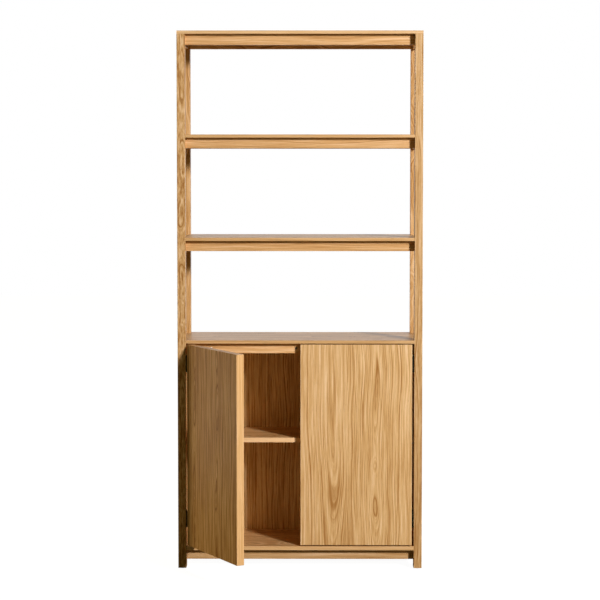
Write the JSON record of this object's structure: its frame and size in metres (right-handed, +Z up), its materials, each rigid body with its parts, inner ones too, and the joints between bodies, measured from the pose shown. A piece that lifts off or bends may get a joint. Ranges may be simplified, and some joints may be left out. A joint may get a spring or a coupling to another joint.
{
  "type": "tall bookcase",
  "caption": "Tall oak bookcase with open shelves between slim posts over a two-door cabinet with an inner shelf; one door stands open.",
  "frame": {"origin": "on the floor, under the middle of the four posts", "axes": "+Z up, +X to the right seen from the front, the front faces -Y"},
  "size_m": [0.908, 0.7165, 2],
  "materials": {
    "oak_frame": "oiled oak, grain along the piece",
    "oak_board": "oiled oak, grain from side to side",
    "oak_panel": "oiled oak, upright grain",
    "oak_door": "oiled oak, upright cathedral grain",
    "dowel_wood": "raw beech",
    "hinge_metal": "black",
    "bright_steel": "nickel-plated",
    "screw_steel": "zinc-plated",
    "glide_plastic": "grey",
    "latch_plastic": "dark brown",
    "buffer_rubber": "clear soft"
  },
  "bodies": {
    "carcass": {"back_panel": "oak_panel", "base_board": "oak_board", "base_front_rail": "oak_frame", "base_left_rail": "oak_frame", "base_rear_rail": "oak_frame", "base_right_rail": "oak_frame", "cabinet_board": "oak_board", "cabinet_front_rail": "oak_frame", "cabinet_left_rail": "oak_frame", "cabinet_rear_rail": "oak_frame", "cabinet_right_rail": "oak_frame", "door_buffers": "buffer_rubber", "foot_glides": "glide_plastic", "front_left_post": "oak_frame", "front_right_post": "oak_frame", "inner_shelf": "oak_board", "latch_housings": "latch_plastic", "left_hinge_pins": "hinge_metal", "left_hinge_post_leaves": "hinge_metal", "left_hinge_post_screws": "hinge_metal", "left_side_panel": "oak_panel", "middle_shelf_board": "oak_board", "middle_shelf_front_rail": "oak_frame", "middle_shelf_left_rail": "oak_frame", "middle_shelf_rear_rail": "oak_frame", "middle_shelf_right_rail": "oak_frame", "rail_screws": "screw_steel", "rear_left_post": "oak_frame", "rear_right_post": "oak_frame", "right_hinge_pins": "hinge_metal", "right_hinge_post_leaves": "hinge_metal", "right_hinge_post_screws": "hinge_metal", "right_side_panel": "oak_panel", "shelf_pins": "bright_steel", "top_board": "oak_board", "top_front_rail": "oak_frame", "top_left_rail": "oak_frame", "top_rear_rail": "oak_frame", "top_right_rail": "oak_frame", "upper_shelf_board": "oak_board", "upper_shelf_front_rail": "oak_frame", "upper_shelf_left_rail": "oak_frame", "upper_shelf_rear_rail": "oak_frame", "upper_shelf_right_rail": "oak_frame", "wood_dowels": "dowel_wood"},
    "left_door": {"left_door": "oak_door", "left_hinge_door_leaves": "hinge_metal", "left_hinge_door_screws": "hinge_metal", "left_latch_strike": "bright_steel"},
    "right_door": {"right_door": "oak_door", "right_hinge_door_leaves": "hinge_metal", "right_hinge_door_screws": "hinge_metal", "right_latch_strike": "bright_steel"},
    "left_latch_plunger": {"left_latch_plunger": "latch_plastic"},
    "right_latch_plunger": {"right_latch_plunger": "latch_plastic"}
  },
  "joints": [
    {"name": "left_door_swing", "type": "hinge", "parent": "carcass", "child": "left_door", "pos_m": [-0.4203, -0.1736, 0.466], "axis": [0, 0, -1], "range_deg": [-61.4, 43.6]},
    {"name": "right_door_swing", "type": "hinge", "parent": "carcass", "child": "right_door", "pos_m": [0.4203, -0.1736, 0.466], "axis": [0, 0, 1], "range_deg": [0, 105]},
    {"name": "left_latch_push", "type": "slide", "parent": "carcass", "child": "left_latch_plunger", "axis": [0, 1, 0], "range_m": [0, 0.003], "stiffness_N_per_m": 800},
    {"name": "right_latch_push", "type": "slide", "parent": "carcass", "child": "right_latch_plunger", "axis": [0, 1, 0], "range_m": [0, 0.003], "stiffness_N_per_m": 800}
  ]
}
